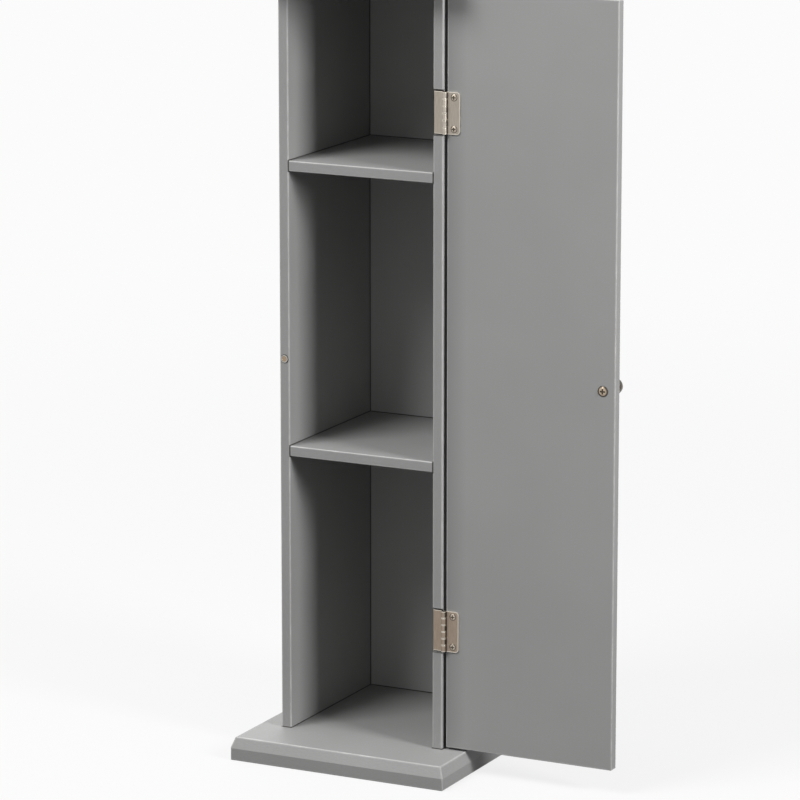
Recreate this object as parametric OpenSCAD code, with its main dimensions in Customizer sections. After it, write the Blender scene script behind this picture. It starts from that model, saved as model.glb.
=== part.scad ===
// Slim freestanding cabinet for rolls: a bevelled base board, two side panels, two fixed
// shelves, a top panel under a bevelled cap board, a thin back panel, and one plain door on
// two small butt hinges, with a round knob and a magnetic catch.
// Millimetres. +Z is up, -Y is the front. The origin is the centre of the base's underside.
// The door is drawn swung open by 180 degrees, in line with the front of the cabinet.

/* [Base and cap boards] */
// Width of the base board
base_w = 200; // [190:1:240]
// Depth of the base board
base_d = 200; // [190:1:240]
// Thickness of the base board
base_t = 20; // [16:0.5:28]
// Thickness of the cap board
cap_t = 20; // [16:0.5:28]
// How far the cap board stands out past each side panel
cap_side_overhang = 12; // [6:0.5:20]
// How far the cap board stands out past the front of the side panels
cap_front_overhang = 24; // [16:0.5:40]
// Height of the upright part of the moulded edge of both boards
edge_h = 10.5; // [8:0.5:13]
// How far the bevel above that part slopes in
bevel_in = 3.4; // [2:0.1:8]

/* [Carcass] */
// Outer width of the cabinet over its side panels
body_w = 152; // [140:1:166]
// Depth of the side panels
side_d = 149; // [140:1:160]
// Thickness of the side panels
side_t = 9; // [9:0.5:12]
// Thickness of the two shelves
shelf_t = 9; // [8:0.5:12]
// Thickness of the top panel
top_t = 9; // [8:0.5:12]
// Thickness of the back panel
back_t = 3; // [2.5:0.1:5]
// Clear height between the base board and the lower shelf
lower_bay_h = 238; // [200:1:280]
// Clear height between the two shelves
middle_bay_h = 234; // [200:1:280]
// Clear height between the upper shelf and the top panel
upper_bay_h = 144; // [130:1:200]
// Radius of the eased long edges of the boards
arris_r = 0.9; // [0.4:0.1:1.5]

/* [Door] */
// Thickness of the door
door_t = 9; // [8.5:0.5:12]
// Gap above and below the door
door_gap = 2; // [1:0.1:4]

/* [Hinges] */
// Height of each hinge
hinge_h = 35; // [30:1:50]
// Distance from the end of the door to the middle of the nearer hinge
hinge_inset = 101; // [60:1:140]
// Gap between the side panel and the door's edge with the door open flat
hinge_gap = 2.8; // [2.6:0.1:5]
// How far the open door's inner face lies behind the front edge of the side panel
door_set_back = 2; // [1.6:0.1:2.4]
// Outer diameter of the hinge barrel
barrel_d = 4.2; // [4:0.1:5]
// Diameter of the hinge pin
hinge_pin_d = 2; // [1.6:0.1:2.2]
// Diameter of the peened heads of the hinge pin
pin_head_d = 3.2; // [2.8:0.1:3.8]
// Thickness of the peened heads of the hinge pin
pin_head_h = 0.5; // [0.3:0.1:1]
// Number of knuckles on each leaf
leaf_knuckles = 3; // [2:1:4]
// Thickness of the hinge leaves
leaf_t = 1; // [0.8:0.1:1.2]
// Distance from the pin to the far edge of the door leaf
door_leaf_reach = 13.2; // [12:0.1:18]
// Radius of the rounded corners of the door leaf
leaf_corner_r = 3; // [1:0.1:4]
// Length of the frame leaf's return along the inside of the side panel
frame_leaf_return = 15; // [12:0.5:20]
// Distance of the leaf screws above and below the middle of the hinge
leaf_screw_spread = 13; // [10:0.1:14]
// Distance from the far edge of a leaf to its screws
leaf_screw_inset = 5.2; // [4.5:0.1:6]

/* [Catch and knob] */
// Outer diameter of the magnet's steel cup
cup_d = 6.5; // [5:0.1:7]
// Wall of the magnet's steel cup
cup_wall = 0.8; // [0.5:0.1:1.2]
// Length of the magnet
magnet_len = 5; // [3:0.5:10]
// How far the magnet's face lies inside the rim of its cup
magnet_sink = 0.3; // [0.1:0.1:0.5]
// Distance from the free edge of the door to the knob
knob_inset = 11; // [10:0.1:20]
// Diameter of the head of the knob
knob_d = 14; // [12:0.5:18]
// Distance that the knob stands out from the door
knob_h = 19.5; // [18:0.5:26]
// Diameter of the knob's neck
knob_neck_d = 7; // [6.5:0.1:9]
// Diameter of the knob's foot
knob_foot_d = 10; // [9.5:0.5:12]
// Height of the straight rim between the knob's flare and its dome
knob_rim_h = 2; // [1:0.1:3]
// Height of the domed end of the knob
knob_dome_h = 5; // [3:0.1:7]
// Diameter of the knob's screw
knob_screw_d = 4; // [3:0.1:5]
// Head diameter of the knob's screw, which the magnet catches
knob_screw_head_d = 8.4; // [7:0.1:10]
// Head height of the knob's screw
knob_screw_head_h = 1.3; // [1:0.1:1.5]
// Length of the knob's screw inside the knob
knob_screw_bite = 8; // [6:0.5:11]

/* [Fasteners] */
// Diameter of the countersunk assembly screws
screw_d = 3.5; // [3:0.1:4]
// Head diameter of the countersunk assembly screws
screw_head_d = 7; // [6:0.1:8]
// Length of the base screws inside the side panels
base_screw_bite = 20; // [15:1:30]
// Length of the shelf and top screws inside the shelf or top panel
shelf_screw_bite = 21; // [15:1:30]
// Length of the cap screws inside the cap board
cap_screw_bite = 13; // [10:0.5:15]
// Distance from the front and back of a board to its assembly screws
screw_edge_in = 28; // [20:1:40]
// Distance of the cap screws from the tips of the top panel's side screws
cap_screw_clear = 8; // [5:0.5:20]
// Distance of the dowels in front of and behind the middle of the side panels
dowel_spread = 20; // [12:1:30]
// Diameter of the dowels
dowel_d = 5; // [4:0.5:6]
// Length of the dowels
dowel_len = 24; // [20:1:30]
// Diameter of the hinge leaf screws
leaf_screw_d = 2.8; // [2.5:0.1:3]
// Head diameter of the hinge leaf screws
leaf_screw_head_d = 6; // [5:0.1:6.5]
// Head height of the hinge leaf screws
leaf_screw_head_h = 0.9; // [0.6:0.1:1.1]
// Length of the hinge leaf screws under the head
leaf_screw_len = 7.5; // [6:0.1:8]
// Diameter of the back panel screws
back_screw_d = 2.5; // [2:0.1:3]
// Head diameter of the back panel screws
back_screw_head_d = 5; // [4.5:0.1:6]
// Head height of the back panel screws
back_screw_head_h = 1.2; // [0.8:0.1:1.5]
// Length of the back panel screws under the head
back_screw_len = 12; // [10:0.5:16]
// Screws along each side of the back panel
back_screw_count = 5; // [3:1:8]
// Distance from the ends of the back panel to the first screws
back_screw_end_in = 30; // [20:1:60]

/* [Clearances] */
// Radial play of a screw in its hole
screw_play = 0.05; // [0.02:0.01:0.1]
// Radial play of the knob's screw in the door
knob_screw_play = 0.25; // [0.1:0.05:0.5]
// Radial play of the hinge pin in the door leaf's knuckles
pin_play = 0.05; // [0.02:0.01:0.1]
// Gap between neighbouring knuckles, and under the pin's heads
knuckle_gap = 0.4; // [0.1:0.05:0.5]
// Gap between a leaf and the other leaf's knuckles
leaf_relief = 0.3; // [0.2:0.05:0.5]
// Gap above and below a frame leaf in its notch
notch_play = 1.2; // [0.3:0.1:1.5]
// Gap between the magnet's cup and the knob's screw with the door shut
catch_play = 0.1; // [0.05:0.05:0.3]
// Room past the end of a dowel or screw in its hole
hole_end_play = 1; // [0.5:0.1:1.5]

/* [Hidden] */

$fn = 48;
// A cut runs this far past the face that it opens through
cut = 1;
// Straight pieces in an eased edge, and in each curve of the knob
arris_steps = 4;
knob_steps = 8;

// Colours
paint = [0.56, 0.56, 0.555];
nickel = [0.66, 0.62, 0.57];
dark_nickel = [0.35, 0.34, 0.33];
zinc = [0.75, 0.75, 0.73];
beech = [0.80, 0.65, 0.45];

// Planes of the carcass
back_y = base_d / 2;
side_back_y = back_y - back_t;
front_y = side_back_y - side_d;
side_mid_y = (front_y + side_back_y) / 2;
outer_x = body_w / 2;
inner_x = outer_x - side_t;
side_mid_x = outer_x - side_t / 2;
lower_shelf_z = base_t + lower_bay_h;
upper_shelf_z = lower_shelf_z + shelf_t + middle_bay_h;
top_z = upper_shelf_z + shelf_t + upper_bay_h;
cap_z = top_z + top_t;
side_h = cap_z - base_t;

// Cap board, flush with the back panel
cap_w = body_w + 2 * cap_side_overhang;
cap_d = back_y - front_y + cap_front_overhang;
cap_mid_y = back_y - cap_d / 2;

// Hinge line, and the door as it lies open
barrel_r = barrel_d / 2;
pin_x = outer_x + hinge_gap / 2;
door_inner_y = front_y + door_set_back;
pin_y = door_inner_y - barrel_r;
leaf_face_y = door_inner_y - leaf_t;
door_x = outer_x + hinge_gap;
door_w = body_w;
door_z = base_t + door_gap;
door_h = side_h - 2 * door_gap;
lower_hinge_z = door_z + hinge_inset;
upper_hinge_z = door_z + door_h - hinge_inset;
knuckle_pitch = hinge_h / (2 * leaf_knuckles);
frame_screw_y = leaf_face_y + frame_leaf_return - leaf_screw_inset;
door_screw_x = pin_x + door_leaf_reach - leaf_screw_inset;

// Knob and catch, both at the middle of the door's height
knob_x = door_x + door_w - knob_inset;
catch_z = door_z + door_h / 2;
door_outer_y = door_inner_y + door_t;
shut_gap = barrel_d - door_set_back;
cup_proud = shut_gap - knob_screw_head_h - catch_play;
cup_len = magnet_sink + magnet_len + cup_wall;
knob_foot_h = 1.2;
knob_flare_h = 4.5;
knob_fillet_h = 2.3;

// Rows of fasteners
assembly_ys = [front_y + screw_edge_in, side_back_y - screw_edge_in];
cap_screw_x = inner_x - shelf_screw_bite - cap_screw_clear;
dowel_ys = [side_mid_y - dowel_spread, side_mid_y + dowel_spread];
back_screw_step = (side_h - 2 * back_screw_end_in) / (back_screw_count - 1);
back_screw_top_x = body_w / 4;

// ---------- Outlines ----------

function unit(v) = v / norm(v);

// Points that round corner c, between its neighbours p and n, with radius r
function corner(p, c, n, r) =
    let (u = unit(p - c), v = unit(n - c), half = acos(u * v) / 2)
    let (centre = c + unit(u + v) * r / sin(half))
    let (from = c + u * r / tan(half) - centre, to = c + v * r / tan(half) - centre)
    let (start = atan2(from[1], from[0]), turn = atan2(to[1], to[0]) - start)
    let (sweep = turn > 180 ? turn - 360 : turn < -180 ? turn + 360 : turn)
    [for (k = [0 : arris_steps]) let (a = start + sweep * k / arris_steps) centre + r * [cos(a), sin(a)]];

// A convex outline whose corners are eased, each by its own radius
function eased(points, radii) =
    let (n = len(points))
    [for (i = [0 : n - 1])
        each radii[i] == 0
            ? [points[i]]
            : corner(points[(i + n - 1) % n], points[i], points[(i + 1) % n], radii[i])];

// A quarter of an ellipse about centre, from angle a, in knob_steps pieces
function quarter(centre, rx, ry, a, turn) =
    [for (k = [1 : knob_steps]) let (t = a + turn * k / knob_steps) centre + [rx * cos(t), ry * sin(t)]];

function rectangle(low, high) = [low, [high[0], low[1]], high, [low[0], high[1]]];

// A profile drawn in (Y, Z) and run along X from x0 to x1
module along_x(x0, x1) {
    translate([x0, 0, 0])
        rotate([90, 0, 90])
            linear_extrude(x1 - x0)
                children();
}

// A profile drawn in (X, Z) and run along Y from y0 to y1
module along_y(y0, y1) {
    translate([0, y1, 0])
        rotate([90, 0, 0])
            linear_extrude(y1 - y0)
                children();
}

// ---------- Fasteners: the head is up, and its seat or top face is at z = 0 ----------

module cross_recess(width, span, depth) {
    for (turn = [0, 90])
        rotate(turn)
            translate([-span / 2, -width / 2, -depth])
                cube([span, width, depth + cut]);
}

// Countersunk screw; grow widens the shank to cut its hole
module countersunk_body(length, grow = 0) {
    shank_r = screw_d / 2 + grow;
    head_r = screw_head_d / 2;
    rotate_extrude()
        polygon([
            [0, 0],
            [head_r, 0],
            [shank_r, shank_r - head_r],
            [shank_r, screw_d - length],
            [0, -length - grow],
        ]);
}

module countersunk_screw(length) {
    difference() {
        countersunk_body(length);
        cross_recess(screw_d / 4, screw_d, screw_d / 3);
    }
}

module countersunk_hole(length) {
    countersunk_body(length, screw_play);
    cylinder(d = screw_head_d, h = cut);
}

// Head shaped as a low dome
module domed_head(d, h) {
    dome_r = (d * d / 4 + h * h) / (2 * h);
    intersection() {
        translate([0, 0, h - dome_r])
            sphere(r = dome_r, $fn = 96);
        cylinder(d = d, h = h);
    }
}

// Screw with a low domed head and a pointed end
module domed_screw(d, length, head_d, head_h) {
    difference() {
        union() {
            domed_head(head_d, head_h);
            pointed_shank(d, length);
        }
        translate([0, 0, head_h])
            cross_recess(head_d / 6, head_d * 0.6, head_h * 0.8);
    }
}

module pointed_shank(d, length) {
    rotate_extrude()
        polygon([[0, 0], [d / 2, 0], [d / 2, d - length], [0, -length]]);
}

module pointed_hole(d, length) {
    pointed_shank(d + 2 * screw_play, length + screw_play);
    cylinder(d = d + 2 * screw_play, h = cut);
}

// ---------- Places of the fasteners ----------

module at_base_screws() {
    for (side = [-1, 1])
        for (y = assembly_ys)
            translate([side * side_mid_x, y, 0])
                rotate([180, 0, 0])
                    children();
}

module at_base_dowels() {
    for (side = [-1, 1])
        for (y = dowel_ys)
            translate([side * side_mid_x, y, base_t])
                children();
}

// Screws through both side panels into the ends of a board whose middle is at z
module at_board_screws(z) {
    for (side = [-1, 1])
        for (y = assembly_ys)
            translate([side * outer_x, y, z])
                rotate([0, side * 90, 0])
                    children();
}

module at_cap_screws() {
    for (side = [-1, 1])
        for (y = assembly_ys)
            translate([side * cap_screw_x, y, top_z])
                rotate([180, 0, 0])
                    children();
}

module at_back_screws() {
    translate([0, back_y, 0])
        rotate([-90, 0, 0]) {
            for (side = [-1, 1])
                for (i = [0 : back_screw_count - 1])
                    translate([side * side_mid_x, -(base_t + back_screw_end_in + i * back_screw_step), 0])
                        children();
            for (side = [-1, 1])
                translate([side * back_screw_top_x, -(top_z + top_t / 2), 0])
                    children();
            for (z = [lower_shelf_z, upper_shelf_z])
                translate([0, -(z + shelf_t / 2), 0])
                    children();
        }
}

module at_frame_leaf_screws(hinge_z) {
    for (dz = [-leaf_screw_spread, leaf_screw_spread])
        translate([inner_x, frame_screw_y, hinge_z + dz])
            rotate([0, -90, 0])
                children();
}

module at_door_leaf_screws(hinge_z) {
    for (dz = [-leaf_screw_spread, leaf_screw_spread])
        translate([door_screw_x, leaf_face_y, hinge_z + dz])
            rotate([90, 0, 0])
                children();
}

module base_screw_hole() {
    countersunk_hole(base_t + base_screw_bite);
}

module board_screw_hole() {
    countersunk_hole(side_t + shelf_screw_bite);
}

module cap_screw_hole() {
    countersunk_hole(top_t + cap_screw_bite);
}

module back_screw_hole() {
    pointed_hole(back_screw_d, back_screw_len);
}

module leaf_screw_hole() {
    pointed_hole(leaf_screw_d, leaf_screw_len);
}

module dowel_hole() {
    translate([0, 0, -dowel_len / 2 - hole_end_play])
        cylinder(d = dowel_d, h = dowel_len + 2 * hole_end_play);
}

// ---------- Base and cap ----------

// Board with its upright edge below and its bevel above, on the front and both sides.
// It is centred in X, its back is at y = back_y and its underside at z = 0.
module moulded_board(w, d, t) {
    y0 = back_y - d;
    intersection() {
        along_x(-w, w)
            polygon(eased(
                [[y0, 0], [back_y, 0], [back_y, t], [y0 + bevel_in, t], [y0, edge_h]],
                [arris_r, 0, 0, arris_r, arris_r]
            ));
        along_y(y0 - cut, back_y + cut)
            polygon(eased(
                [[-w / 2, 0], [w / 2, 0], [w / 2, edge_h], [w / 2 - bevel_in, t], [bevel_in - w / 2, t], [-w / 2, edge_h]],
                [for (i = [1 : 6]) arris_r]
            ));
        linear_extrude(t)
            polygon(eased(rectangle([-w / 2, y0], [w / 2, back_y]), [arris_r, arris_r, 0, 0]));
    }
}

module base_board() {
    color(paint)
        difference() {
            moulded_board(base_w, base_d, base_t);
            at_base_screws() base_screw_hole();
            at_base_dowels() dowel_hole();
        }
}

module base_screws() {
    color(zinc)
        at_base_screws() countersunk_screw(base_t + base_screw_bite);
}

module base_dowels() {
    color(beech)
        at_base_dowels()
            translate([0, 0, -dowel_len / 2])
                cylinder(d = dowel_d, h = dowel_len);
}

module cap_board() {
    color(paint)
        difference() {
            translate([0, 0, cap_z + cap_t])
                mirror([0, 0, 1])
                    moulded_board(cap_w, cap_d, cap_t);
            at_cap_screws() cap_screw_hole();
        }
}

module cap_screws() {
    color(zinc)
        at_cap_screws() countersunk_screw(top_t + cap_screw_bite);
}

// ---------- Carcass panels ----------

// Plain side panel on the right; its two front edges are eased
module side_blank() {
    translate([0, 0, base_t])
        linear_extrude(side_h)
            polygon(eased(rectangle([inner_x, front_y], [outer_x, side_back_y]), [arris_r, arris_r, 0, 0]));
}

module side_fastener_holes() {
    at_base_screws() base_screw_hole();
    at_base_dowels() dowel_hole();
    at_board_screws(lower_shelf_z + shelf_t / 2) board_screw_hole();
    at_board_screws(upper_shelf_z + shelf_t / 2) board_screw_hole();
    at_board_screws(top_z + top_t / 2) board_screw_hole();
    at_back_screws() back_screw_hole();
}

module left_side_panel() {
    color(paint)
        difference() {
            mirror([1, 0, 0])
                side_blank();
            side_fastener_holes();
            translate([-side_mid_x, front_y - cut, catch_z])
                rotate([-90, 0, 0])
                    cylinder(d = cup_d, h = cut + cup_len - cup_proud);
        }
}

// Notch for the frame leaf across the panel's front edge, and the shallow recess behind it
module hinge_notch(hinge_z) {
    notch_h = hinge_h + 2 * notch_play;
    translate([inner_x - cut, front_y - cut, hinge_z - notch_h / 2])
        cube([side_t + 2 * cut, door_set_back + cut, notch_h]);
    translate([inner_x - cut, front_y, hinge_z - notch_h / 2])
        cube([leaf_t + cut, leaf_face_y - front_y + frame_leaf_return + notch_play, notch_h]);
}

module right_side_panel() {
    color(paint)
        difference() {
            side_blank();
            side_fastener_holes();
            for (z = [lower_hinge_z, upper_hinge_z]) {
                hinge_notch(z);
                at_frame_leaf_screws(z) leaf_screw_hole();
            }
        }
}

// Board between the side panels, with an eased front edge; z is its underside
module cross_board(z, t) {
    difference() {
        along_x(-inner_x, inner_x)
            polygon(eased(rectangle([front_y, z], [side_back_y, z + t]), [arris_r, 0, 0, arris_r]));
        at_board_screws(z + t / 2) board_screw_hole();
        at_back_screws() back_screw_hole();
    }
}

module lower_shelf() {
    color(paint)
        cross_board(lower_shelf_z, shelf_t);
}

module lower_shelf_screws() {
    color(zinc)
        at_board_screws(lower_shelf_z + shelf_t / 2) countersunk_screw(side_t + shelf_screw_bite);
}

module upper_shelf() {
    color(paint)
        cross_board(upper_shelf_z, shelf_t);
}

module upper_shelf_screws() {
    color(zinc)
        at_board_screws(upper_shelf_z + shelf_t / 2) countersunk_screw(side_t + shelf_screw_bite);
}

module top_panel() {
    color(paint)
        difference() {
            cross_board(top_z, top_t);
            at_cap_screws() cap_screw_hole();
        }
}

module top_panel_screws() {
    color(zinc)
        at_board_screws(top_z + top_t / 2) countersunk_screw(side_t + shelf_screw_bite);
}

module back_panel() {
    color(paint)
        difference() {
            translate([-outer_x, side_back_y, base_t])
                cube([body_w, back_t, side_h]);
            at_back_screws() back_screw_hole();
        }
}

module back_panel_screws() {
    color(zinc)
        at_back_screws() domed_screw(back_screw_d, back_screw_len, back_screw_head_d, back_screw_head_h);
}

// ---------- Magnetic catch in the left panel's front edge ----------

module catch_magnet_cup() {
    color(nickel)
        translate([-side_mid_x, front_y - cup_proud, catch_z])
            rotate([-90, 0, 0])
                difference() {
                    cylinder(d = cup_d, h = cup_len);
                    translate([0, 0, -cut])
                        cylinder(d = cup_d - 2 * cup_wall, h = cut + cup_len - cup_wall);
                }
}

module catch_magnet() {
    color(nickel)
        translate([-side_mid_x, front_y - cup_proud + magnet_sink, catch_z])
            rotate([-90, 0, 0])
                cylinder(d = cup_d - 2 * cup_wall, h = magnet_len);
}

// ---------- Hinges: knuckle 0 is the lowest, and even knuckles belong to the frame leaf ----------

// Knuckles of one leaf, with the web that joins them to a plate on the side given by dir
module knuckles(hinge_z, first, dir, bore_d) {
    web_w = barrel_r + leaf_relief + leaf_t;
    for (i = [first : 2 : 2 * leaf_knuckles - 1])
        translate([pin_x, pin_y, hinge_z - hinge_h / 2 + i * knuckle_pitch + knuckle_gap / 2])
            difference() {
                union() {
                    cylinder(d = barrel_d, h = knuckle_pitch - knuckle_gap);
                    translate([dir > 0 ? 0 : -web_w, barrel_r - leaf_t, 0])
                        cube([web_w, leaf_t, knuckle_pitch - knuckle_gap]);
                }
                translate([0, 0, -cut])
                    cylinder(d = bore_d, h = knuckle_pitch + 2 * cut);
            }
}

// Leaf bent round the panel: one arm in the notch, one arm against the inner face
module frame_leaf(hinge_z) {
    color(nickel) {
        knuckles(hinge_z, 0, -1, hinge_pin_d);
        translate([0, 0, hinge_z - hinge_h / 2])
            linear_extrude(hinge_h)
                difference() {
                    polygon(eased(
                        rectangle([inner_x, leaf_face_y], [pin_x - barrel_r - leaf_relief, leaf_face_y + frame_leaf_return]),
                        [arris_r, 0, 0, 0]
                    ));
                    translate([inner_x + leaf_t, door_inner_y])
                        square([side_t + hinge_gap, frame_leaf_return]);
                }
    }
}

module frame_leaf_drilled(hinge_z) {
    difference() {
        frame_leaf(hinge_z);
        at_frame_leaf_screws(hinge_z) leaf_screw_hole();
    }
}

// Flat leaf on the door's inner face, with two rounded corners
module door_leaf(hinge_z) {
    plate_x = pin_x + barrel_r + leaf_relief;
    low = [plate_x, hinge_z - hinge_h / 2];
    high = [pin_x + door_leaf_reach, hinge_z + hinge_h / 2];
    color(nickel)
        difference() {
            union() {
                knuckles(hinge_z, 1, 1, hinge_pin_d + 2 * pin_play);
                along_y(leaf_face_y, door_inner_y)
                    polygon(eased(rectangle(low, high), [0, leaf_corner_r, leaf_corner_r, 0]));
            }
            at_door_leaf_screws(hinge_z) leaf_screw_hole();
        }
}

// Pin with a peened head above and below the barrel
module hinge_pin(hinge_z) {
    barrel_end = hinge_h / 2;
    color(nickel)
        translate([pin_x, pin_y, hinge_z]) {
            translate([0, 0, -barrel_end - pin_head_h])
                cylinder(d = hinge_pin_d, h = 2 * (barrel_end + pin_head_h));
            for (end = [0, 1])
                mirror([0, 0, end])
                    translate([0, 0, barrel_end])
                        domed_head(pin_head_d, pin_head_h);
        }
}

module leaf_screw() {
    domed_screw(leaf_screw_d, leaf_screw_len, leaf_screw_head_d, leaf_screw_head_h);
}

module lower_hinge_frame_leaf() {
    frame_leaf_drilled(lower_hinge_z);
}

module lower_hinge_pin() {
    hinge_pin(lower_hinge_z);
}

module lower_hinge_frame_screws() {
    color(nickel)
        at_frame_leaf_screws(lower_hinge_z) leaf_screw();
}

module upper_hinge_frame_leaf() {
    frame_leaf_drilled(upper_hinge_z);
}

module upper_hinge_pin() {
    hinge_pin(upper_hinge_z);
}

module upper_hinge_frame_screws() {
    color(nickel)
        at_frame_leaf_screws(upper_hinge_z) leaf_screw();
}

module lower_hinge_door_leaf() {
    door_leaf(lower_hinge_z);
}

module lower_hinge_door_screws() {
    color(nickel)
        at_door_leaf_screws(lower_hinge_z) leaf_screw();
}

module upper_hinge_door_leaf() {
    door_leaf(upper_hinge_z);
}

module upper_hinge_door_screws() {
    color(nickel)
        at_door_leaf_screws(upper_hinge_z) leaf_screw();
}

// ---------- Door ----------

// Plain slab with all its edges eased
module door_blank() {
    all_eased = [arris_r, arris_r, arris_r, arris_r];
    far_x = door_x + door_w;
    intersection() {
        along_x(door_x, far_x)
            polygon(eased(rectangle([door_inner_y, door_z], [door_outer_y, door_z + door_h]), all_eased));
        along_y(door_inner_y, door_outer_y)
            polygon(eased(rectangle([door_x, door_z], [far_x, door_z + door_h]), all_eased));
        translate([0, 0, door_z])
            linear_extrude(door_h)
                polygon(eased(rectangle([door_x, door_inner_y], [far_x, door_outer_y]), all_eased));
    }
}

module door_panel() {
    color(paint)
        difference() {
            door_blank();
            for (z = [lower_hinge_z, upper_hinge_z])
                at_door_leaf_screws(z) leaf_screw_hole();
            translate([knob_x, door_inner_y - cut, catch_z])
                rotate([-90, 0, 0])
                    cylinder(d = knob_screw_d + 2 * knob_screw_play, h = door_t + 2 * cut);
        }
}

// ---------- Knob ----------

// Outline from the middle of the foot, up the neck, the flare and the rim, to the tip of the dome
function knob_outline() =
    let (foot_r = knob_foot_d / 2, neck_r = knob_neck_d / 2, head_r = knob_d / 2)
    let (rim_z = knob_h - knob_dome_h - knob_rim_h, neck_z = knob_foot_h + knob_fillet_h)
    concat(
        [[0, 0], [foot_r, 0], [foot_r, knob_foot_h]],
        quarter([foot_r, neck_z], foot_r - neck_r, knob_fillet_h, 270, -90),
        [[neck_r, rim_z - knob_flare_h]],
        quarter([neck_r, rim_z], head_r - neck_r, knob_flare_h, 270, 90),
        [[head_r, rim_z + knob_rim_h]],
        quarter([0, rim_z + knob_rim_h], head_r, knob_dome_h, 0, 90)
    );

module door_knob() {
    color(dark_nickel)
        translate([knob_x, door_outer_y, catch_z])
            rotate([-90, 0, 0])
                difference() {
                    rotate_extrude()
                        polygon(knob_outline());
                    translate([0, 0, -cut])
                        cylinder(d = knob_screw_d, h = cut + knob_screw_bite + hole_end_play);
                }
}

module knob_screw() {
    color(nickel)
        translate([knob_x, door_inner_y, catch_z])
            rotate([90, 0, 0])
                difference() {
                    union() {
                        domed_head(knob_screw_head_d, knob_screw_head_h);
                        translate([0, 0, -door_t - knob_screw_bite])
                            cylinder(d = knob_screw_d, h = door_t + knob_screw_bite);
                    }
                    translate([0, 0, knob_screw_head_h])
                        cross_recess(knob_screw_head_d / 6, knob_screw_head_d * 0.55, knob_screw_head_h * 0.8);
                }
}

base_board();
base_screws();
base_dowels();
left_side_panel();
right_side_panel();
lower_shelf();
lower_shelf_screws();
upper_shelf();
upper_shelf_screws();
top_panel();
top_panel_screws();
cap_board();
cap_screws();
back_panel();
back_panel_screws();
catch_magnet_cup();
catch_magnet();
lower_hinge_frame_leaf();
lower_hinge_pin();
lower_hinge_frame_screws();
upper_hinge_frame_leaf();
upper_hinge_pin();
upper_hinge_frame_screws();
door_panel();
lower_hinge_door_leaf();
lower_hinge_door_screws();
upper_hinge_door_leaf();
upper_hinge_door_screws();
door_knob();
knob_screw();
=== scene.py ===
import math

import bpy
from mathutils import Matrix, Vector


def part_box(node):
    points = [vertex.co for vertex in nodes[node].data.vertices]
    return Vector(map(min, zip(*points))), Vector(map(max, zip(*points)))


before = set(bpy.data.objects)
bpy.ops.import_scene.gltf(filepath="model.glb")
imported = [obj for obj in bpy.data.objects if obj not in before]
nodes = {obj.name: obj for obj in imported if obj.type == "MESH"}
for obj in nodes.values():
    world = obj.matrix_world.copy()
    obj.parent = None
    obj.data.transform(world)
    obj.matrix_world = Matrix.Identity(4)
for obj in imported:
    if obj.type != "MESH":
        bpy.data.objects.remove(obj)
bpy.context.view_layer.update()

# ---------- Camera and stage ----------

# Camera, fitted to the photograph: its place, angles in degrees, lens and sensor in millimetres
CAMERA_AT = (1.6793, -3.3291, 1.1273)
CAMERA_YAW = 26.621
CAMERA_PITCH = 12.468
CAMERA_LENS = 203.68
SENSOR = 36.0
CLIP = (0.1, 60.0)

# The camera and mirrors see the even backdrop, and a floor that turns into it with the distance
# from the object. FLOOR_GLOW is the backdrop's share in the floor nearby. Other rays, which carry
# the light that the floor throws back, find a darker floor and a dim sky.
BACKDROP = 0.965
AMBIENT = 0.20
FLOOR_COLOUR = 0.70
FLOOR_BOUNCE = 0.12
FLOOR_GLOW = 0.84
FLOOR_NEAR, FLOOR_FAR = 0.7, 2.2
FLOOR_HALF = 14.0
FLOOR_HEIGHT = -0.0002

# Softboxes: azimuth from the front towards the hinge side, elevation, distance, width, height and
# level. A level is the share of white that a light gives a surface which faces it.
LIGHTS_AIM = (0.05, 0.0, 0.33)
SOFTBOXES = {
    "key": (75, 24, 1.8, 0.42, 0.7, 0.88),
    "overhead": (-30, 50, 4.0, 1.6, 1.6, 0.78),
    "fill": (-85, 30, 3.0, 3.0, 2.4, 0.42),
    "back": (-155, 34, 3.0, 3.0, 2.4, 0.34),
}

# ---------- Paint and dirt ----------

# Colours are linear. PAINTS holds the colour and gloss of the boards that differ from the others.
PAINT = (0.300, 0.300, 0.297)
PAINT_GLOSS = 0.35
PAINTS = {
    "back_panel": ((0.400, 0.400, 0.396), PAINT_GLOSS),
    "base_board": ((0.291, 0.291, 0.288), PAINT_GLOSS),
    "right_side_panel": ((0.318, 0.318, 0.315), 0.05),
}
# Worn paint along the arrises, made lighter to serve as a painted highlight as well
PAINT_WORN_AND_LIT = (0.500, 0.500, 0.492)
# Dark joint lines, and painted shade in the hinge notches, the door slot, round the fittings and in
# the hinge creases
GRIME_AND_PAINTED_SHADE = (0.055, 0.052, 0.048)

# Noises: scale, detail and roughness. Most values of a noise lie in NOISE_RANGE.
NOISE_RANGE = (0.3, 0.7)
CLOUDS = (9.0, 3.0, 0.5)
SPECKS = (1500.0, 1.0, 0.5)
PEEL = (420.0, 2.0, 0.45)
RUBBING = (60.0, 4.0, 0.6)
FIBRES = (1.0, 3.0, 0.6)
FIBRES_ALONG, FIBRES_ACROSS = 260.0, 2600.0

# How much the noises change the paint's tone, and its roughness on faces, cut edges and arrises
CLOUD_TONE = (-0.025, 0.025)
SPECK_TONE = (-0.012, 0.012)
FIBRE_TONE = (-0.07, 0.01)
ROUGHNESS_NOISE = (0.25, 0.75)
PAINT_ROUGHNESS = (0.49, 0.56)
CUT_EDGE_ROUGHER = 0.10
WORN_SMOOTHER = 0.10

# Relief of the paint: depth and strength
PEEL_RELIEF = (0.00010, 0.35)
FIBRE_RELIEF = (0.00012, 0.5)

# A cut edge is told from a face by how far its normal leans from the board's thickness
CUT_EDGE = (0.35, 0.75)

# Worn paint along the arrises, lightened further as a painted highlight: full and ended at these
# distances, and its patches
ARRIS = (0.0003, 0.0016)
WORN_PATCHES = (0.42, 0.72)
WORN_LEAST = 0.55

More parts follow.
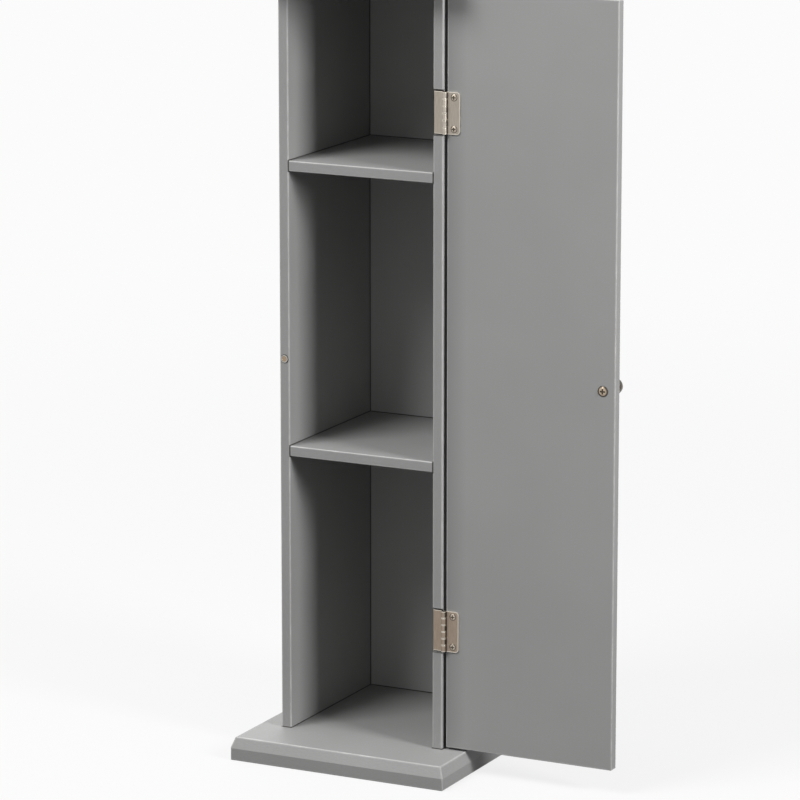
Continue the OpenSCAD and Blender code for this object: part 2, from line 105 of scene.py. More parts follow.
# Joint lines between boards: the distances where they are darkest and where they end. Boards
# that come closer than TOUCH meet.
SEAM = (0.0004, 0.0011)
SEAM_DARK = 0.92
TOUCH = 0.0001

# Moulded edge of the base and cap boards. Its slope, between upright and level, is painted a
# little lighter as painted light.
EDGE_HEIGHT = 0.0105
EDGE_IN = 0.0034
SLOPE_RISE, SLOPE_FALL = (0.1, 0.3), (0.5, 0.8)
SLOPE_PAINTED_LIGHT = 0.12

# Hinge notches in the right side panel: half the height, reach, the margins at the ends, the front
# and the sides of the painted shade on their floor, and the painted shade lines along the ends, full
# and ended at these distances. FAR_OFF is more than any distance on the cabinet.
NOTCH_HALF = 0.0187
NOTCH_REACH = 0.018
NOTCH_END_MARGIN = 0.0001
NOTCH_FRONT_MARGIN = 0.0004
NOTCH_SIDE_MARGIN = 0.0003
NOTCH_LINE = (0.0005, 0.0008)
NOTCH_DARK = 0.95
FAR_OFF = 1.0

# Painted shadow in the slot between the side panel's outer face and the open door
SLOT_FRONT = -0.0492
SLOT_DEPTH = 0.0050
SLOT_SOFT_FRONT, SLOT_SOFT_BACK = 0.0005, 0.0015
SLOT_FACE = 0.0004
SLOT_DARK = 0.88

# Painted shade: the door's inner face gets darker towards the hinges, over these distances from its
# edge
HINGE_SHADE_SPAN = (0.001, 0.018)
HINGE_SHADE_FACE = 0.001
HINGE_SIDE_SHADE = 0.22

# Painted shade: dark rings round the fittings let into boards, where they end, past the fitting's
# radius
RING = (0.0002, 0.0008)
CATCH_RADIUS = 0.00325
KNOB_SCREW_RADIUS = 0.0042

# ---------- Metals and wood ----------

# Both hinges' leaves are the same nickel: the lower is painted darker and the upper lighter, as
# painted light
LEAF_NICKEL_AS_LIT = {"lower": (0.288, 0.233, 0.183), "upper": (0.368, 0.328, 0.280)}
LEAF_SCREW_NICKEL = (0.480, 0.418, 0.346)
# Lightens the leaves' rims and knuckle ends: wear together with painted highlights
NICKEL_WORN_AND_LIT = (0.70, 0.65, 0.57)
KNOB_NICKEL = (0.118, 0.103, 0.084)
KNOB_SCREW_NICKEL = (0.46, 0.375, 0.285)
PIN_STEEL = (0.16, 0.145, 0.125)
CUP_STEEL = (0.50, 0.485, 0.455)
MAGNET = (0.34, 0.265, 0.19)
ZINC = (0.56, 0.55, 0.52)
BEECH = (0.52, 0.34, 0.17)

# Noises of metal and wood, and how quickly their grain changes along X, Y and Z
BRUSHING = (1.0, 4.0, 0.6)
STAINS = (220.0, 3.0, 0.55)
FINE_GRAIN = (900.0, 900.0, 900.0)
KNOB_GRAIN = (700.0, 700.0, 700.0)
LEAF_GRAIN = (2600.0, 2600.0, 160.0)
BEECH_GRAIN = (900.0, 900.0, 90.0)

# Brushed metal: how far the brushing darkens and lightens it for each unit of tint, its stains,
# the spread of its roughness and its relief
TINT_DARKER, TINT_LIGHTER = 2.5, 1.5
METAL_TINT, KNOB_TINT = 0.06, 0.03
STAIN_RANGE = (0.55, 0.8)
STAIN_DEPTH = 0.35
ROUGHNESS_SPREAD = (-0.05, 0.08)
BRUSHED_RELIEF = (0.00003, 0.5)
# Painted shade in screw recesses: the deepest part's colour as a share of the metal's
RECESS_SHADE_DARKER = 0.16

# Roughness of each metal
LEAF_ROUGH = 0.40
SCREW_ROUGH = 0.30
MAGNET_ROUGH = 0.36
CUP_ROUGH = 0.22
KNOB_ROUGH = 0.20

BEECH_DARKER = 0.7
BEECH_ROUGH = 0.6
BEECH_RELIEF = (0.00005, 0.6)

# Hinges: corners of the leaves, the knuckles and how bright they are between their ends, by wear and
# painted sheen, the rims lightened by wear and painted highlights, and the painted shade in the
# creases
FRAME_LEAF_CORNER, DOOR_LEAF_CORNER = 0.0008, 0.003
PAST_LEAF = 0.01
LEAF_RIM = (0.0007, 0.0002)
KNUCKLES = 6
KNUCKLE_END = (0.0004, 0.0009)
KNUCKLE_WEAR_AND_SHEEN = {"lower": 0.0, "upper": 0.17}
BARREL_FRONT = 0.0030
CREASE = (0.0016, 0.0025)
CREASE_SOFT = 0.0002
CREASE_DARK = 0.85

# Screws: metal, the axis that they lie along, the end of their box where the heads are, and the
# depths in the recess where its painted shade starts and where it is darkest
SCREWS = {
    "lower_hinge_frame_screws": (LEAF_SCREW_NICKEL, 0, "low", 0.0003, 0.0007),
    "upper_hinge_frame_screws": (LEAF_SCREW_NICKEL, 0, "low", 0.0003, 0.0007),
    "lower_hinge_door_screws": (LEAF_SCREW_NICKEL, 1, "low", 0.0003, 0.0007),
    "upper_hinge_door_screws": (LEAF_SCREW_NICKEL, 1, "low", 0.0003, 0.0007),
    "knob_screw": (KNOB_SCREW_NICKEL, 1, "low", 0.0004, 0.0010),
    "back_panel_screws": (ZINC, 1, "high", 0.0004, 0.0010),
    "base_screws": (ZINC, 2, "low", 0.0002, 0.0008),
    "cap_screws": (ZINC, 2, "low", 0.0002, 0.0008),
    "lower_shelf_screws": (ZINC, 0, "both", 0.0002, 0.0008),
    "upper_shelf_screws": (ZINC, 0, "both", 0.0002, 0.0008),
    "top_panel_screws": (ZINC, 0, "both", 0.0002, 0.0008),
}

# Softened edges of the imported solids
LEAF_BEVEL = 0.00035
CUP_BEVEL = 0.0003
SMALL_BEVEL = 0.00010
BEVEL_STEPS = 2
BEVEL_ANGLE = math.radians(40)
SHARP_ANGLE = math.radians(32)
FLAT_ANGLE = math.radians(0.5)
WELD = 0.000002

# ---------- Places taken from the frame ----------

BOARDS = [
    "base_board", "cap_board", "left_side_panel", "right_side_panel",
    "lower_shelf", "upper_shelf", "top_panel", "back_panel", "door_panel",
]
HINGES = ("lower", "upper")


def centred(low, high):
    """The middle of a box, and half its size."""
    middle = [(a + b) / 2 for a, b in zip(low, high)]
    half = [(b - a) / 2 for a, b in zip(low, high)]
    return middle, half


def middle_of(node):
    return centred(*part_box(node))[0]


HINGE_HEIGHTS = [middle_of(hinge + "_hinge_door_leaf")[2] for hinge in HINGES]
CATCH = middle_of("catch_magnet_cup")
KNOB = middle_of("knob_screw")
# Fittings whose axis runs along Y: x, z and radius
FITTINGS = {
    "left_side_panel": (CATCH[0], CATCH[2], CATCH_RADIUS),
    "door_panel": (KNOB[0], KNOB[2], KNOB_SCREW_RADIUS),
}


def moulding(board):
    """The heights where the slope of a board's moulded edge starts and ends, if it has one."""
    low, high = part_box(board)
    if board == "base_board":
        return low[2] + EDGE_HEIGHT, high[2]
    if board == "cap_board":
        return high[2] - EDGE_HEIGHT, low[2]
    return None


def touching(board):
    """The boxes of the other boards that meet this one."""
    low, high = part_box(board)
    others = [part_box(other) for other in BOARDS if other != board]
    boxes = []
    for other_low, other_high in others:
        reached = [low[axis] < other_high[axis] + TOUCH for axis in range(3)]
        reaches = [other_low[axis] < high[axis] + TOUCH for axis in range(3)]
        if all(reached + reaches):
            boxes.append((other_low, other_high))
    return boxes


# ---------- Node helpers ----------

class Tree:
    """Builds nodes in a node tree; most calls return the socket that they made."""

    def __init__(self, node_tree):
        self.nodes = node_tree.nodes
        self.links = node_tree.links
        self.nodes.clear()

    def plug(self, value, socket):
        """Links a socket to another one, or sets its value. A colour may come without its alpha."""
        if isinstance(value, bpy.types.NodeSocket):
            self.links.new(value, socket)
        elif socket.type == "RGBA":
            socket.default_value = (*value, 1.0)
        else:
            socket.default_value = value

    def plug_all(self, values, sockets):
        for value, socket in zip(values, sockets):
            self.plug(value, socket)

    def maths(self, operation, *values):
        node = self.nodes.new("ShaderNodeMath")
        node.operation = operation
        self.plug_all(values, node.inputs)
        return node.outputs[0]

    def product(self, first, *others):
        for other in others:
            first = self.maths("MULTIPLY", first, other)
        return first

    def apart(self, value, other):
        """The distance between two numbers."""
        return self.maths("ABSOLUTE", self.maths("SUBTRACT", value, other))

    def hypotenuse(self, a, b):
        squares = self.maths("ADD", self.maths("MULTIPLY", a, a), self.maths("MULTIPLY", b, b))
        return self.maths("SQRT", squares)

    def split(self, vector):
        node = self.nodes.new("ShaderNodeSeparateXYZ")
        self.plug(vector, node.inputs[0])
        return list(node.outputs)

    def vector(self, operation, *values):
        node = self.nodes.new("ShaderNodeVectorMath")
        node.operation = operation
        self.plug_all(values, node.inputs)
        return node.outputs["Value" if operation == "LENGTH" else "Vector"]

    def scaled(self, vector, factor):
        node = self.nodes.new("ShaderNodeVectorMath")
        node.operation = "SCALE"
        self.plug(vector, node.inputs[0])
        self.plug(factor, node.inputs["Scale"])
        return node.outputs["Vector"]

    def ramp(self, value, low, high, out_low=0.0, out_high=1.0, how="SMOOTHSTEP"):
        """Maps low..high to out_low..out_high, smoothly or along a straight line."""
        node = self.nodes.new("ShaderNodeMapRange")
        node.interpolation_type = how
        self.plug_all((value, low, high, out_low, out_high), node.inputs)
        return node.outputs[0]

    def mix(self, factor, first, second):
        node = self.nodes.new("ShaderNodeMix")
        node.data_type = "RGBA"
        self.plug(factor, node.inputs["Factor"])
        self.plug(first, node.inputs["A"])
        self.plug(second, node.inputs["B"])
        return node.outputs["Result"]

    def bump(self, height, depth, strength, under=None):
        node = self.nodes.new("ShaderNodeBump")
        node.inputs["Strength"].default_value = strength
        node.inputs["Distance"].default_value = depth
        self.plug(height, node.inputs["Height"])
        if under is not None:
            self.plug(under, node.inputs["Normal"])
        return node.outputs["Normal"]

    def light(self, kind, grey, strength):
        """A shader of this kind that gives an even grey light."""
        node = self.nodes.new(kind)
        self.plug((grey, grey, grey), node.inputs["Color"])
        node.inputs["Strength"].default_value = strength
        return node.outputs[0]

    def blend(self, factor, first, second):
        node = self.nodes.new("ShaderNodeMixShader")
        self.plug_all((factor, first, second), node.inputs)
        return node.outputs[0]

    def end(self, kind, shader):
        self.links.new(shader, self.nodes.new(kind).inputs["Surface"])


class Surface(Tree):
    """The nodes of one material, which knows each point's place and normal."""

    def __init__(self, name):
        self.material = bpy.data.materials.new(name)
        self.material.use_nodes = True
        super().__init__(self.material.node_tree)
        coordinates = self.nodes.new("ShaderNodeTexCoord")
        self.place = coordinates.outputs["Object"]
        self.normal = coordinates.outputs["Normal"]
        self.at = self.split(self.place)
        self.x, self.y, self.z = self.at

    def noise(self, scale, detail, roughness, grain=None):
        """A noise over the part, stretched by how quickly a grain changes along X, Y and Z."""
        node = self.nodes.new("ShaderNodeTexNoise")
        place = self.vector("MULTIPLY", self.place, grain) if grain else self.place
        self.plug(place, node.inputs["Vector"])
        node.inputs["Scale"].default_value = scale
        node.inputs["Detail"].default_value = detail
        node.inputs["Roughness"].default_value = roughness
        return node.outputs["Fac"]

    def finish(self, colour, roughness, normal, metallic=0.0, gloss=0.5):
        shader = self.nodes.new("ShaderNodeBsdfPrincipled")
        self.plug(colour, shader.inputs["Base Color"])
        self.plug(roughness, shader.inputs["Roughness"])
        self.plug(normal, shader.inputs["Normal"])
        shader.inputs["Metallic"].default_value = metallic
        shader.inputs["Specular IOR Level"].default_value = gloss
        self.end("ShaderNodeOutputMaterial", shader.outputs["BSDF"])
        return self.material


# ---------- Painted boards ----------

def edge_distance(tree, low, high, slope):
    """Distance from a point on a board's surface to the nearest edge of its box, or of its
    moulded edge where it has a slope."""
    spans = []
    for axis, value in enumerate(tree.at):
        from_low = tree.maths("SUBTRACT", value, low[axis])
        from_high = tree.maths("SUBTRACT", high[axis], value)
        spans.append([from_low, from_high])
    if slope:
        # The back edge isn't moulded
        inward = tree.ramp(tree.z, *slope, 0.0, EDGE_IN, "LINEAR")
        spans[0] = [tree.maths("SUBTRACT", side, inward) for side in spans[0]]
        spans[1][0] = tree.maths("SUBTRACT", spans[1][0], inward)
    x, y, z = [tree.maths("MINIMUM", *span) for span in spans]
    # One of the three is 0 on the surface, and the next smallest is the distance to the edge
    smaller = tree.maths("MINIMUM", x, y)
    larger = tree.maths("MAXIMUM", x, y)
    return tree.maths("MAXIMUM", smaller, tree.maths("MINIMUM", larger, z))


def notch_distance(tree, front):
    """The distance to the nearest end of a notch in the front edge."""
    behind = tree.maths("SUBTRACT", tree.y, front)
    nearest = FAR_OFF
    for middle in HINGE_HEIGHTS:
        past = tree.apart(tree.apart(tree.z, middle), NOTCH_HALF)
        nearest = tree.maths("MINIMUM", nearest, tree.maths("MAXIMUM", past, behind))
    return nearest


def worn_and_highlight_share(tree, nearest):
    """The share of worn paint and painted highlight along the arrises, which varies in patches."""
    near = tree.ramp(nearest, *ARRIS, 1.0, 0.0)
    patches = tree.ramp(tree.noise(*RUBBING), *WORN_PATCHES)
    return tree.product(near, tree.maths("MULTIPLY_ADD", patches, 1.0 - WORN_LEAST, WORN_LEAST))


def notch_painted_shade(tree, low, high):
    """1 on the floor of the notches and of the shallow recess behind them, painted dark as shade."""
    inside = 0.0
    for middle in HINGE_HEIGHTS:
        level = tree.maths("LESS_THAN", tree.apart(tree.z, middle), NOTCH_HALF - NOTCH_END_MARGIN)
        inside = tree.maths("MAXIMUM", inside, level)
    behind = tree.maths("SUBTRACT", tree.y, low[1])
    return tree.product(
        inside,
        tree.maths("GREATER_THAN", behind, NOTCH_FRONT_MARGIN),
        tree.maths("LESS_THAN", behind, NOTCH_REACH),
        tree.maths("GREATER_THAN", tree.x, low[0] + NOTCH_SIDE_MARGIN),
        tree.maths("LESS_THAN", tree.x, high[0] - NOTCH_SIDE_MARGIN),
    )


def slot_painted_shadow(tree, high):
    """The depth of the painted shadow on a side panel's outer face, in the slot beside the open door.
    """
    behind = tree.maths("SUBTRACT", tree.y, SLOT_FRONT)
    rise = tree.ramp(behind, 0.0, SLOT_SOFT_FRONT)
    fall = tree.ramp(behind, SLOT_DEPTH, SLOT_DEPTH + SLOT_SOFT_BACK, 1.0, 0.0)
    outside = tree.maths("GREATER_THAN", tree.x, high[0] - SLOT_FACE)
    return tree.product(rise, fall, outside, SLOT_DARK)


def seam_dirt(tree, boxes):
    """The depth of the fine dark joint lines where other boards meet this one, 0 off them."""
    seam = 0.0
    for low, high in boxes:
        middle, half = centred(low, high)
        away = tree.vector("ABSOLUTE", tree.vector("SUBTRACT", tree.place, middle))
        past = tree.vector("MAXIMUM", tree.vector("SUBTRACT", away, half), (0.0, 0.0, 0.0))
        line = tree.ramp(tree.vector("LENGTH", past), *SEAM, SEAM_DARK, 0.0)
        seam = tree.maths("MAXIMUM", seam, line)
    return seam


def ring_painted_shade(tree, x, z, radius):
    """1 on a thin ring of painted shade round a fitting whose axis runs along Y, falling to 0 outside
    it.
    """
    across = tree.maths("SUBTRACT", tree.x, x)
    up = tree.maths("SUBTRACT", tree.z, z)
    start, end = RING
    return tree.ramp(tree.hypotenuse(across, up), radius + start, radius + end, 1.0, 0.0)


def board_dirt_and_shade(tree, board, low, high):
    """The shares of a board's surface that dark joint lines and painted shade darken."""
    shares = []
    if board == "right_side_panel":
        # Painted shade on the notches' floor, in the slot beside the open door and along the notches'
        # ends
        notch_shade_line = tree.ramp(notch_distance(tree, low[1]), *NOTCH_LINE, NOTCH_DARK, 0.0)
        shares += [notch_painted_shade(tree, low, high), slot_painted_shadow(tree, high), notch_shade_line]
    boxes = touching(board)
    if boxes:
        shares.append(seam_dirt(tree, boxes))
    if board in FITTINGS:
        shares.append(ring_painted_shade(tree, *FITTINGS[board]))
    return shares


def hinge_side_painted_shade(tree, low):
    """The paint's tone on the door's inner face, with painted shade that darkens it towards the
    hinges.
    """
    along = tree.maths("SUBTRACT", tree.x, low[0])
    inner = tree.maths("LESS_THAN", tree.y, low[1] + HINGE_SHADE_FACE)
    painted_shade = tree.ramp(along, *HINGE_SHADE_SPAN, HINGE_SIDE_SHADE, 0.0, "LINEAR")
    return tree.maths("SUBTRACT", 1.0, tree.product(painted_shade, inner))


def slope_painted_light(tree):
    """The paint's tone on a board with a moulded edge: 1, and more on the slope of that edge, as
    painted light.
    """
    upright = tree.maths("ABSOLUTE", tree.split(tree.normal)[2])
    slope = tree.product(tree.ramp(upright, *SLOPE_RISE), tree.ramp(upright, *SLOPE_FALL, 1.0, 0.0))
    return tree.maths("MULTIPLY_ADD", slope, SLOPE_PAINTED_LIGHT, 1.0)


def painted_board(board):
    """Satin lacquer on fibreboard: a faint orange peel on the faces, fibre on the cut edges, thin,
    slightly worn paint with a painted highlight along the arrises, dark lines at the joints, painted
    shade round the fitting, in the notches, in the door slot and on the door's hinge side, and
    painted light on moulded slopes."""
    low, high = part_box(board)
    paint, gloss = PAINTS.get(board, (PAINT, PAINT_GLOSS))
    slope = moulding(board)
    tree = Surface("paint_" + board)

    size = centred(low, high)[1]
    thin = size.index(min(size))
    facing = tree.maths("ABSOLUTE", tree.split(tree.normal)[thin])
    cut_edge = tree.ramp(facing, *CUT_EDGE, 1.0, 0.0)
    grain = [FIBRES_ALONG] * 3
    grain[thin] = FIBRES_ACROSS
    fibres = tree.noise(*FIBRES, grain=grain)
    clouds = tree.noise(*CLOUDS)

    nearest = edge_distance(tree, low, high, slope)
    if board == "right_side_panel":
        nearest = tree.maths("MINIMUM", nearest, notch_distance(tree, low[1]))
    worn_and_lit = worn_and_highlight_share(tree, nearest)

    tone = tree.maths("ADD", 1.0, tree.ramp(clouds, *NOISE_RANGE, *CLOUD_TONE))
    tone = tree.maths("ADD", tone, tree.ramp(tree.noise(*SPECKS), *NOISE_RANGE, *SPECK_TONE))
    fibre_tone = tree.ramp(fibres, *NOISE_RANGE, *FIBRE_TONE)
    tone = tree.maths("ADD", tone, tree.product(cut_edge, fibre_tone))
    if board == "door_panel":
        tone = tree.product(tone, hinge_side_painted_shade(tree, low))
    if slope:
        tone = tree.product(tone, slope_painted_light(tree))
    colour = tree.mix(worn_and_lit, tree.scaled(paint, tone), PAINT_WORN_AND_LIT)
    for share in board_dirt_and_shade(tree, board, low, high):
        colour = tree.mix(share, colour, GRIME_AND_PAINTED_SHADE)

    roughness = tree.ramp(clouds, *ROUGHNESS_NOISE, *PAINT_ROUGHNESS)
    roughness = tree.maths("ADD", roughness, tree.product(cut_edge, CUT_EDGE_ROUGHER))
    roughness = tree.maths("SUBTRACT", roughness, tree.product(worn_and_lit, WORN_SMOOTHER))
    peel = tree.bump(tree.noise(*PEEL), *PEEL_RELIEF)
    normal = tree.bump(tree.product(fibres, cut_edge), *FIBRE_RELIEF, under=peel)
    return tree.finish(colour, roughness, normal, gloss=gloss)


# ---------- Metals and wood ----------

def leaf_rim_highlight(tree, low, high, radius):
    """1 along the outline of a plate in the XZ plane with rounded corners, where wear and a painted
    highlight lighten it, 0 further in.
    """
    middle, half = centred(low, high)
    past_x = tree.maths("SUBTRACT", tree.apart(tree.x, middle[0]), half[0] - radius)
    past_z = tree.maths("SUBTRACT", tree.apart(tree.z, middle[2]), half[2] - radius)
    beyond = tree.hypotenuse(tree.maths("MAXIMUM", past_x, 0.0), tree.maths("MAXIMUM", past_z, 0.0))
    inner = tree.maths("MINIMUM", tree.maths("MAXIMUM", past_x, past_z), 0.0)
    start, end = LEAF_RIM
    return tree.ramp(tree.maths("ADD", beyond, inner), radius - start, radius - end)


def knuckle_highlight(tree, low, high, knuckle_sheen):
    """How bright a hinge's knuckles are, which stand in front of its leaves, by wear and painted
    highlights: 1 at their ends and the given wear and sheen between them."""
    pitch = (high[2] - low[2]) / KNUCKLES
    turns = tree.maths("DIVIDE", tree.maths("SUBTRACT", tree.z, low[2]), pitch)
    part = tree.maths("FRACT", tree.maths("ADD", turns, 0.5))
    end = tree.ramp(tree.product(tree.apart(part, 0.5), pitch), *KNUCKLE_END, 1.0, 0.0)
    bright = tree.maths("MAXIMUM", end, knuckle_sheen)
    return tree.product(bright, tree.maths("LESS_THAN", tree.y, low[1] + BARREL_FRONT))


def crease_painted_shade(tree, start, end):
    """The depth of the painted shade in the crease between a hinge's barrel and its leaf, by x."""
    rise = tree.ramp(tree.x, start - CREASE_SOFT, start + CREASE_SOFT)
    fall = tree.ramp(tree.x, end - CREASE_SOFT, end + CREASE_SOFT, 1.0, 0.0)
    return tree.product(rise, fall, CREASE_DARK)


def recess_painted_shade(tree, box, axis, end, start, full):
    """0 at the top of a screw head, 1 deeper in its recess, where it is painted darker as shade. The
    head is at the low end, the high end or both ends of the box along the axis, and a box with both
    is centred on 0."""
    low, high = box
    value = tree.at[axis]
    if end == "low":
        depth = tree.maths("SUBTRACT", value, low[axis])
    elif end == "high":
        depth = tree.maths("SUBTRACT", high[axis], value)
    else:
        depth = tree.maths("SUBTRACT", high[axis], tree.maths("ABSOLUTE", value))
    return tree.ramp(depth, start, full)


def tinted(colour, factor):
    """A colour made darker or lighter, up to white."""
    return tuple(min(1.0, channel * factor) for channel in colour)


def brushed_metal(
    name, colour, rough, grain=FINE_GRAIN, tint=METAL_TINT, leaf=None, crease=None, head=None
):
    """Plated metal with fine brushing. leaf is the outline of a hinge leaf whose edges and knuckles
    are lightened by wear and painted highlights, crease is where its barrel gets painted shade, and
    head is where a screw's recess gets painted shade."""
    tree = Surface(name)
    streaks = tree.noise(*BRUSHING, grain=grain)
    stains = tree.noise(*STAINS)
    darker = tinted(colour, 1 - TINT_DARKER * tint)
    lighter = tinted(colour, 1 + TINT_LIGHTER * tint)
    body = tree.mix(tree.ramp(streaks, *NOISE_RANGE), darker, lighter)
    body = tree.mix(tree.ramp(stains, *STAIN_RANGE, 0.0, STAIN_DEPTH), body, darker)
    if crease:
        body = tree.mix(crease_painted_shade(tree, *crease), body, GRIME_AND_PAINTED_SHADE)
    if leaf:
        low, high, corner, knuckle_sheen = leaf
        body = tree.mix(leaf_rim_highlight(tree, low, high, corner), body, NICKEL_WORN_AND_LIT)
        body = tree.mix(knuckle_highlight(tree, low, high, knuckle_sheen), body, NICKEL_WORN_AND_LIT)
    if head:
        body = tree.mix(recess_painted_shade(tree, *head), body, tinted(colour, RECESS_SHADE_DARKER))
    smoother, rougher = ROUGHNESS_SPREAD
    roughness = tree.ramp(stains, *NOISE_RANGE, rough + smoother, rough + rougher)
    return tree.finish(body, roughness, tree.bump(streaks, *BRUSHED_RELIEF), metallic=1.0)


def beech_wood(name):
    tree = Surface(name)
    rings = tree.noise(*BRUSHING, grain=BEECH_GRAIN)
    colour = tree.mix(tree.ramp(rings, *NOISE_RANGE), tinted(BEECH, BEECH_DARKER), BEECH)
    return tree.finish(colour, BEECH_ROUGH, tree.bump(rings, *BEECH_RELIEF))


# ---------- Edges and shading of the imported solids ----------

def smooth_group():
    """Geometry nodes that shade smooth across shallow angles and keep sharp edges sharp."""
    group = bpy.data.node_groups.new("smooth_by_angle", "GeometryNodeTree")
    group.is_modifier = True
    group.interface.new_socket("Geometry", in_out="INPUT", socket_type="NodeSocketGeometry")
    group.interface.new_socket("Geometry", in_out="OUTPUT", socket_type="NodeSocketGeometry")
    start = group.nodes.new("NodeGroupInput")
    end = group.nodes.new("NodeGroupOutput")
    faces = group.nodes.new("GeometryNodeSetShadeSmooth")
    faces.domain = "FACE"
    edges = group.nodes.new("GeometryNodeSetShadeSmooth")
    edges.domain = "EDGE"
    edges.inputs["Shade Smooth"].default_value = False
    angle = group.nodes.new("GeometryNodeInputMeshEdgeAngle")
    sharp = group.nodes.new("FunctionNodeCompare")
    sharp.data_type = "FLOAT"
    sharp.operation = "GREATER_THAN"
    sharp.inputs[1].default_value = SHARP_ANGLE
    group.links.new(start.outputs[0], faces.inputs["Geometry"])
    group.links.new(faces.outputs[0], edges.inputs["Geometry"])
    group.links.new(angle.outputs["Unsigned Angle"], sharp.inputs[0])
    group.links.new(sharp.outputs[0], edges.inputs["Selection"])
    group.links.new(edges.outputs[0], end.inputs[0])
    return group


SMOOTH = smooth_group()


def dress(node, material, bevel=None):
    """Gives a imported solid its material, joined faces, softened edges and even shading."""
    thing = nodes[node]
    thing.data.materials.clear()
    thing.data.materials.append(material)
    weld = thing.modifiers.new("weld", "WELD")
    weld.merge_threshold = WELD
    if bevel:
        # The flat faces come in triangles, whose edges would spoil the bevel
        flat = thing.modifiers.new("flat", "DECIMATE")
        flat.decimate_type = "DISSOLVE"
        flat.angle_limit = FLAT_ANGLE
        soften = thing.modifiers.new("soften", "BEVEL")
        soften.width = bevel
        soften.segments = BEVEL_STEPS
        soften.limit_method = "ANGLE"
        soften.angle_limit = BEVEL_ANGLE
        soften.miter_outer = "MITER_ARC"
    smooth = thing.modifiers.new("smooth", "NODES")
    smooth.node_group = SMOOTH
    weighted = thing.modifiers.new("even", "WEIGHTED_NORMAL")
    weighted.keep_sharp = True


def dress_door_leaf(hinge):
    node = hinge + "_hinge_door_leaf"
    low, high = [list(corner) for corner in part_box(node)]
    # The barrel's end of the box isn't an edge of the leaf
    low[0] -= DOOR_LEAF_CORNER
    pin_x = middle_of(hinge + "_hinge_pin")[0]
    crease = [pin_x + distance for distance in CREASE]
    leaf = (low, high, DOOR_LEAF_CORNER, KNUCKLE_WEAR_AND_SHEEN[hinge])
    metal = brushed_metal(node, LEAF_NICKEL_AS_LIT[hinge], LEAF_ROUGH, LEAF_GRAIN, leaf=leaf, crease=crease)
    dress(node, metal, LEAF_BEVEL)


def dress_frame_leaf(hinge):
    node = hinge + "_hinge_frame_leaf"
    low, high = [list(corner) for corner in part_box(node)]
    # Neither the barrel's end nor the fold at the other end is an edge of the leaf
    low[0] -= PAST_LEAF
    high[0] += PAST_LEAF
    leaf = (low, high, FRAME_LEAF_CORNER, KNUCKLE_WEAR_AND_SHEEN[hinge])
    metal = brushed_metal(node, LEAF_NICKEL_AS_LIT[hinge], LEAF_ROUGH, LEAF_GRAIN, leaf=leaf)
    dress(node, metal, LEAF_BEVEL)


for board in BOARDS:
    dress(board, painted_board(board))

pin_metal = brushed_metal("pin_steel", PIN_STEEL, SCREW_ROUGH)
for hinge in HINGES:
    dress_frame_leaf(hinge)
    dress_door_leaf(hinge)
    dress(hinge + "_hinge_pin", pin_metal, SMALL_BEVEL)

for node, (colour, *head) in SCREWS.items():
    metal = brushed_metal(node, colour, SCREW_ROUGH, head=(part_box(node), *head))
    dress(node, metal, SMALL_BEVEL)

dress("catch_magnet_cup", brushed_metal("cup_steel", CUP_STEEL, CUP_ROUGH), CUP_BEVEL)
dress("catch_magnet", brushed_metal("magnet_face", MAGNET, MAGNET_ROUGH), SMALL_BEVEL)
dress("door_knob", brushed_metal("knob_metal", KNOB_NICKEL, KNOB_ROUGH, KNOB_GRAIN, KNOB_TINT))
dress("base_dowels", beech_wood("beech"))


# ---------- Stage, lights and camera ----------

def backdrop_share(tree):
    """1 for rays that see the backdrop directly, in a mirror or through glass."""
    path = tree.nodes.new("ShaderNodeLightPath")
    share = path.outputs["Is Camera Ray"]
    for other in ("Is Glossy Ray", "Is Transmission Ray"):
        share = tree.maths("MAXIMUM", share, path.outputs[other])
    return share


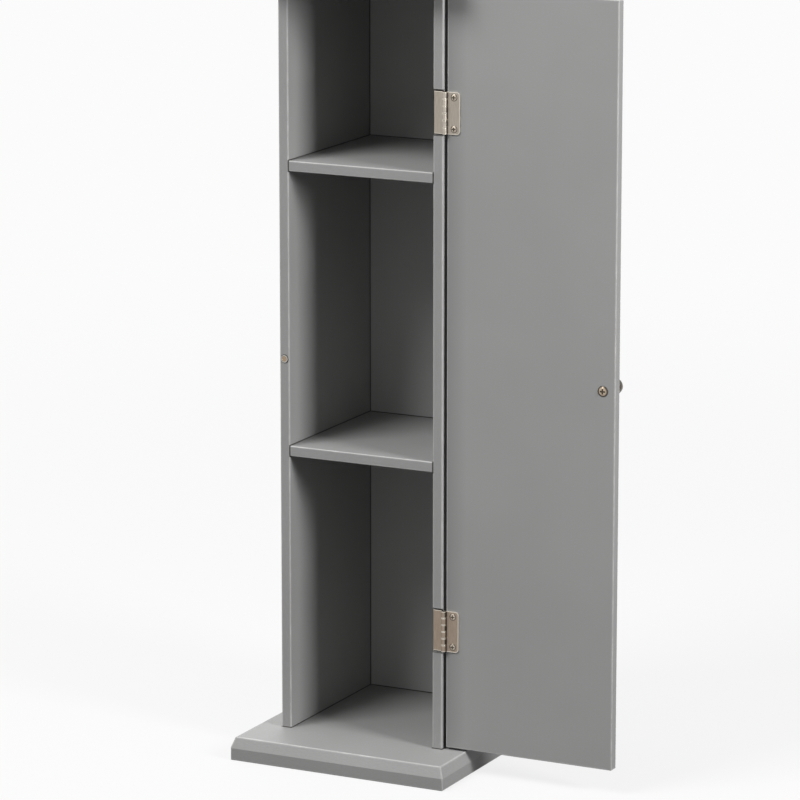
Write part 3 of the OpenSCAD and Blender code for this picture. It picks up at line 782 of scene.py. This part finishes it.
def make_floor():
    mesh = bpy.data.meshes.new("floor")
    corners = [(-1, -1), (1, -1), (1, 1), (-1, 1)]
    points = [(x * FLOOR_HALF, y * FLOOR_HALF, FLOOR_HEIGHT) for x, y in corners]
    mesh.from_pydata(points, [], [(0, 1, 2, 3)])
    floor = bpy.data.objects.new("floor", mesh)
    bpy.context.scene.collection.objects.link(floor)
    material = bpy.data.materials.new("floor")
    material.use_nodes = True
    tree = Tree(material.node_tree)
    seen = backdrop_share(tree)
    diffuse = tree.nodes.new("ShaderNodeBsdfDiffuse")
    tree.plug(tree.ramp(seen, 0.0, 1.0, FLOOR_BOUNCE, FLOOR_COLOUR, "LINEAR"), diffuse.inputs["Color"])
    place = tree.nodes.new("ShaderNodeTexCoord").outputs["Object"]
    glow_share = tree.ramp(tree.vector("LENGTH", place), FLOOR_NEAR, FLOOR_FAR, FLOOR_GLOW, 1.0)
    glow = tree.light("ShaderNodeEmission", BACKDROP, 1.0)
    blend = tree.blend(tree.product(seen, glow_share), diffuse.outputs[0], glow)
    tree.end("ShaderNodeOutputMaterial", blend)
    mesh.materials.append(material)


def make_world():
    world = bpy.data.worlds.new("studio")
    bpy.context.scene.world = world
    world.use_nodes = True
    tree = Tree(world.node_tree)
    sky = tree.light("ShaderNodeBackground", 1.0, AMBIENT)
    backdrop = tree.light("ShaderNodeBackground", BACKDROP, 1.0)
    tree.end("ShaderNodeOutputWorld", tree.blend(backdrop_share(tree), sky, backdrop))


def softbox(name, azimuth, elevation, distance, width, height, level):
    data = bpy.data.lights.new(name, "AREA")
    data.shape = "RECTANGLE"
    data.size = width
    data.size_y = height
    data.energy = level * math.pi ** 2 * distance ** 2
    lamp = bpy.data.objects.new(name, data)
    turn, rise = math.radians(azimuth), math.radians(elevation)
    level_part = math.cos(rise)
    toward = Vector((math.sin(turn) * level_part, -math.cos(turn) * level_part, math.sin(rise)))
    lamp.location = Vector(LIGHTS_AIM) + toward * distance
    lamp.rotation_mode = "QUATERNION"
    lamp.rotation_quaternion = toward.to_track_quat("Z", "Y")
    bpy.context.scene.collection.objects.link(lamp)


def make_camera():
    data = bpy.data.cameras.new("camera")
    data.sensor_width = SENSOR
    data.lens = CAMERA_LENS
    data.clip_start, data.clip_end = CLIP
    camera = bpy.data.objects.new("camera", data)
    camera.location = CAMERA_AT
    camera.rotation_euler = (math.radians(90 - CAMERA_PITCH), 0.0, math.radians(CAMERA_YAW))
    bpy.context.scene.collection.objects.link(camera)
    bpy.context.scene.camera = camera


make_floor()
make_world()
for lamp_name, setting in SOFTBOXES.items():
    softbox(lamp_name, *setting)
make_camera()

bpy.context.scene.view_settings.view_transform = "Standard"
